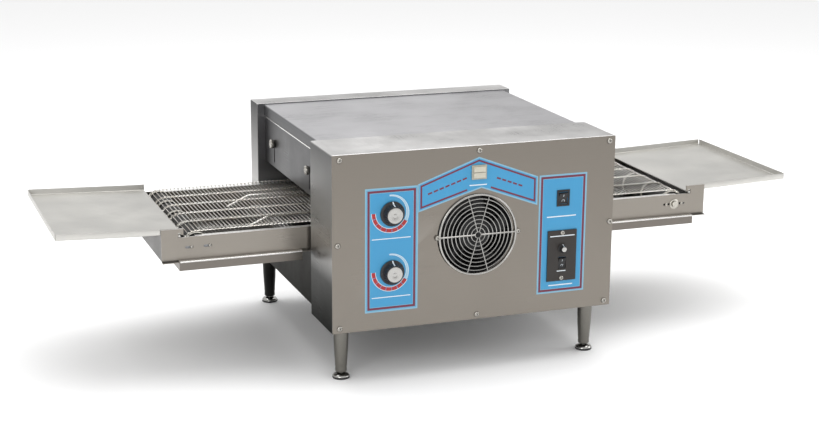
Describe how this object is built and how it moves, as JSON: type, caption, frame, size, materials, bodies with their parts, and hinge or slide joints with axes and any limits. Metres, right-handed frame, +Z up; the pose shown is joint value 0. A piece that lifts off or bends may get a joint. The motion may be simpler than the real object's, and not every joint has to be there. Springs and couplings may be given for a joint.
{
  "type": "countertop conveyor pizza oven",
  "caption": "Countertop conveyor pizza oven: a baking tunnel between a control box and a rear box, with a wire belt running through it, end trays, crumb trays and screw-in legs.",
  "frame": {"origin": "on the surface the oven stands on, in the middle of its overall length and depth", "axes": "+Z up; the control panel faces -Y; the belt runs along X, loading tray at -X"},
  "size_m": [1.4846, 0.5824, 0.43],
  "materials": {
    "brushed_stainless": "fine brushed grain, satin",
    "tray_stainless": "satin, lighter than the casing",
    "polished_steel": "bright polished",
    "belt_wire": "drawn wire, slightly heat tinted",
    "aluminised_liner": "dull mill finish",
    "insulation_wool": "soft ceramic fibre",
    "element_sheath": "dark oxidised sheath",
    "black_plastic": "moulded, slight gloss",
    "dark_moulding": "moulded, satin",
    "ivory_plastic": "moulded, slight gloss",
    "motor_paint": "grey enamel",
    "drum_steel": "blackened, oiled"
  },
  "bodies": {
    "casing": {"front_panel": "brushed_stainless", "front_box_cover": "brushed_stainless", "rear_box_cover": "brushed_stainless", "rear_bulkhead": "brushed_stainless", "top_cover": "brushed_stainless", "chamber_floor": "brushed_stainless", "left_end_wall": "brushed_stainless", "right_end_wall": "brushed_stainless", "conveyor_front_plate": "brushed_stainless", "conveyor_rear_plate": "brushed_stainless", "left_conveyor_end_plate": "brushed_stainless", "right_conveyor_end_plate": "brushed_stainless", "fan_guard": "polished_steel", "front_left_leg": "polished_steel", "front_right_leg": "polished_steel", "rear_left_leg": "polished_steel", "rear_right_leg": "polished_steel", "conveyor_belt": "belt_wire", "belt_rail_frame": "belt_wire", "control_bulkhead": "aluminised_liner", "chamber_roof": "aluminised_liner", "insulation_blanket": "insulation_wool", "upper_element": "element_sheath", "lower_element": "element_sheath", "power_switch_housing": "black_plastic", "fan_frame": "black_plastic", "cable_gland": "black_plastic", "speed_controller": "dark_moulding", "upper_thermostat": "dark_moulding", "lower_thermostat": "dark_moulding", "indicator_lamp": "ivory_plastic", "gear_motor": "motor_paint", "take_up_block_front": "motor_paint", "take_up_block_rear": "motor_paint", "drive_chain": "drum_steel"},
    "upper_heat_knob": {"upper_heat_knob": "black_plastic"},
    "lower_heat_knob": {"lower_heat_knob": "black_plastic"},
    "speed_knob": {"speed_knob": "black_plastic"},
    "power_rocker": {"power_switch_rocker": "black_plastic"},
    "run_rocker": {"run_switch_rocker": "black_plastic"},
    "left_gate": {"left_gate": "brushed_stainless"},
    "right_gate": {"right_gate": "brushed_stainless"},
    "left_gate_screw_front": {"left_gate_screw_front": "polished_steel"},
    "left_gate_screw_rear": {"left_gate_screw_rear": "polished_steel"},
    "right_gate_screw_front": {"right_gate_screw_front": "polished_steel"},
    "right_gate_screw_rear": {"right_gate_screw_rear": "polished_steel"},
    "left_tray": {"left_tray": "tray_stainless"},
    "right_tray": {"right_tray": "tray_stainless"},
    "left_crumb_tray": {"left_crumb_tray": "brushed_stainless"},
    "right_crumb_tray": {"right_crumb_tray": "brushed_stainless"},
    "drive_shaft": {"drive_shaft": "drum_steel"},
    "left_idler": {"left_idler_drum": "drum_steel"},
    "right_idler": {"right_idler_drum": "drum_steel"},
    "motor_sprocket": {"motor_sprocket": "drum_steel"},
    "fan_impeller": {"fan_impeller": "black_plastic"},
    "front_left_foot": {"front_left_foot": "polished_steel"},
    "front_right_foot": {"front_right_foot": "polished_steel"},
    "rear_left_foot": {"rear_left_foot": "polished_steel"},
    "rear_right_foot": {"rear_right_foot": "polished_steel"}
  },
  "joints": [
    {"name": "upper_heat_knob_turn", "type": "hinge", "parent": "casing", "child": "upper_heat_knob", "pos_m": [-0.164, -0.27465, 0.316], "axis": [0, 1, 0], "range_deg": [0, 270]},
    {"name": "lower_heat_knob_turn", "type": "hinge", "parent": "casing", "child": "lower_heat_knob", "pos_m": [-0.164, -0.27465, 0.2064], "axis": [0, 1, 0], "range_deg": [0, 270]},
    {"name": "speed_knob_turn", "type": "hinge", "parent": "casing", "child": "speed_knob", "pos_m": [0.1726, -0.27745, 0.2217], "axis": [0, 1, 0], "range_deg": [0, 270]},
    {"name": "power_rocker_tip", "type": "hinge", "parent": "casing", "child": "power_rocker", "pos_m": [0.1726, -0.27385, 0.3182], "axis": [1, 0, 0], "range_deg": [-24, 0]},
    {"name": "run_rocker_tip", "type": "hinge", "parent": "casing", "child": "run_rocker", "pos_m": [0.1734, -0.27465, 0.1934], "axis": [1, 0, 0], "range_deg": [-24, 0]},
    {"name": "left_gate_slide", "type": "slide", "parent": "casing", "child": "left_gate", "axis": [0, 0, -1], "range_m": [0, 0.035]},
    {"name": "left_gate_screw_front_turn", "type": "hinge", "parent": "left_gate", "child": "left_gate_screw_front", "pos_m": [-0.2615, -0.08535, 0.361], "axis": [-1, 0, 0], "range_deg": [0, 540]},
    {"name": "left_gate_screw_rear_turn", "type": "hinge", "parent": "left_gate", "child": "left_gate_screw_rear", "pos_m": [-0.2615, 0.15515, 0.361], "axis": [-1, 0, 0], "range_deg": [0, 540]},
    {"name": "left_tray_lift", "type": "hinge", "parent": "casing", "child": "left_tray", "pos_m": [-0.5204, 0, 0.2684], "axis": [0, 1, 0], "range_deg": [0, 90]},
    {"name": "left_crumb_tray_slide", "type": "slide", "parent": "casing", "child": "left_crumb_tray", "axis": [-1, 0, 0], "range_m": [0, 0.2]},
    {"name": "right_gate_slide", "type": "slide", "parent": "casing", "child": "right_gate", "axis": [0, 0, -1], "range_m": [0, 0.035]},
    {"name": "right_gate_screw_front_turn", "type": "hinge", "parent": "right_gate", "child": "right_gate_screw_front", "pos_m": [0.2615, -0.08535, 0.361], "axis": [1, 0, 0], "range_deg": [0, 540]},
    {"name": "right_gate_screw_rear_turn", "type": "hinge", "parent": "right_gate", "child": "right_gate_screw_rear", "pos_m": [0.2615, 0.15515, 0.361], "axis": [1, 0, 0], "range_deg": [0, 540]},
    {"name": "right_tray_lift", "type": "hinge", "parent": "casing", "child": "right_tray", "pos_m": [0.5204, 0, 0.2684], "axis": [0, -1, 0], "range_deg": [0, 90]},
    {"name": "right_crumb_tray_slide", "type": "slide", "parent": "casing", "child": "right_crumb_tray", "axis": [1, 0, 0], "range_m": [0, 0.2]},
    {"name": "drive_shaft_turn", "type": "hinge", "parent": "casing", "child": "drive_shaft", "pos_m": [0.15, 0, 0.2466], "axis": [0, 1, 0], "continuous": true},
    {"name": "left_idler_turn", "type": "hinge", "parent": "casing", "child": "left_idler", "pos_m": [-0.4865, 0, 0.2466], "axis": [0, 1, 0], "continuous": true},
    {"name": "right_idler_turn", "type": "hinge", "parent": "casing", "child": "right_idler", "pos_m": [0.4865, 0, 0.2466], "axis": [0, 1, 0], "continuous": true},
    {"name": "motor_sprocket_turn", "type": "hinge", "parent": "casing", "child": "motor_sprocket", "pos_m": [0.15, -0.15535, 0.1686], "axis": [0, 1, 0], "continuous": true},
    {"name": "fan_spin", "type": "hinge", "parent": "casing", "child": "fan_impeller", "pos_m": [-0.0025, -0.26405, 0.263], "axis": [0, 1, 0], "continuous": true},
    {"name": "front_left_foot_screw", "type": "hinge", "parent": "casing", "child": "front_left_foot", "pos_m": [-0.247, -0.22985, 0], "axis": [0, 0, 1], "range_deg": [0, 2880]},
    {"name": "front_right_foot_screw", "type": "hinge", "parent": "casing", "child": "front_right_foot", "pos_m": [0.247, -0.22985, 0], "axis": [0, 0, 1], "range_deg": [0, 2880]},
    {"name": "rear_left_foot_screw", "type": "hinge", "parent": "casing", "child": "rear_left_foot", "pos_m": [-0.247, 0.25815, 0], "axis": [0, 0, 1], "range_deg": [0, 2880]},
    {"name": "rear_right_foot_screw", "type": "hinge", "parent": "casing", "child": "rear_right_foot", "pos_m": [0.247, 0.25815, 0], "axis": [0, 0, 1], "range_deg": [0, 2880]}
  ],
  "couplings": [
    {"joint": "left_idler_turn", "follows": "drive_shaft_turn", "ratio": 1},
    {"joint": "right_idler_turn", "follows": "drive_shaft_turn", "ratio": 1},
    {"joint": "motor_sprocket_turn", "follows": "drive_shaft_turn", "ratio": 1.5}
  ]
}
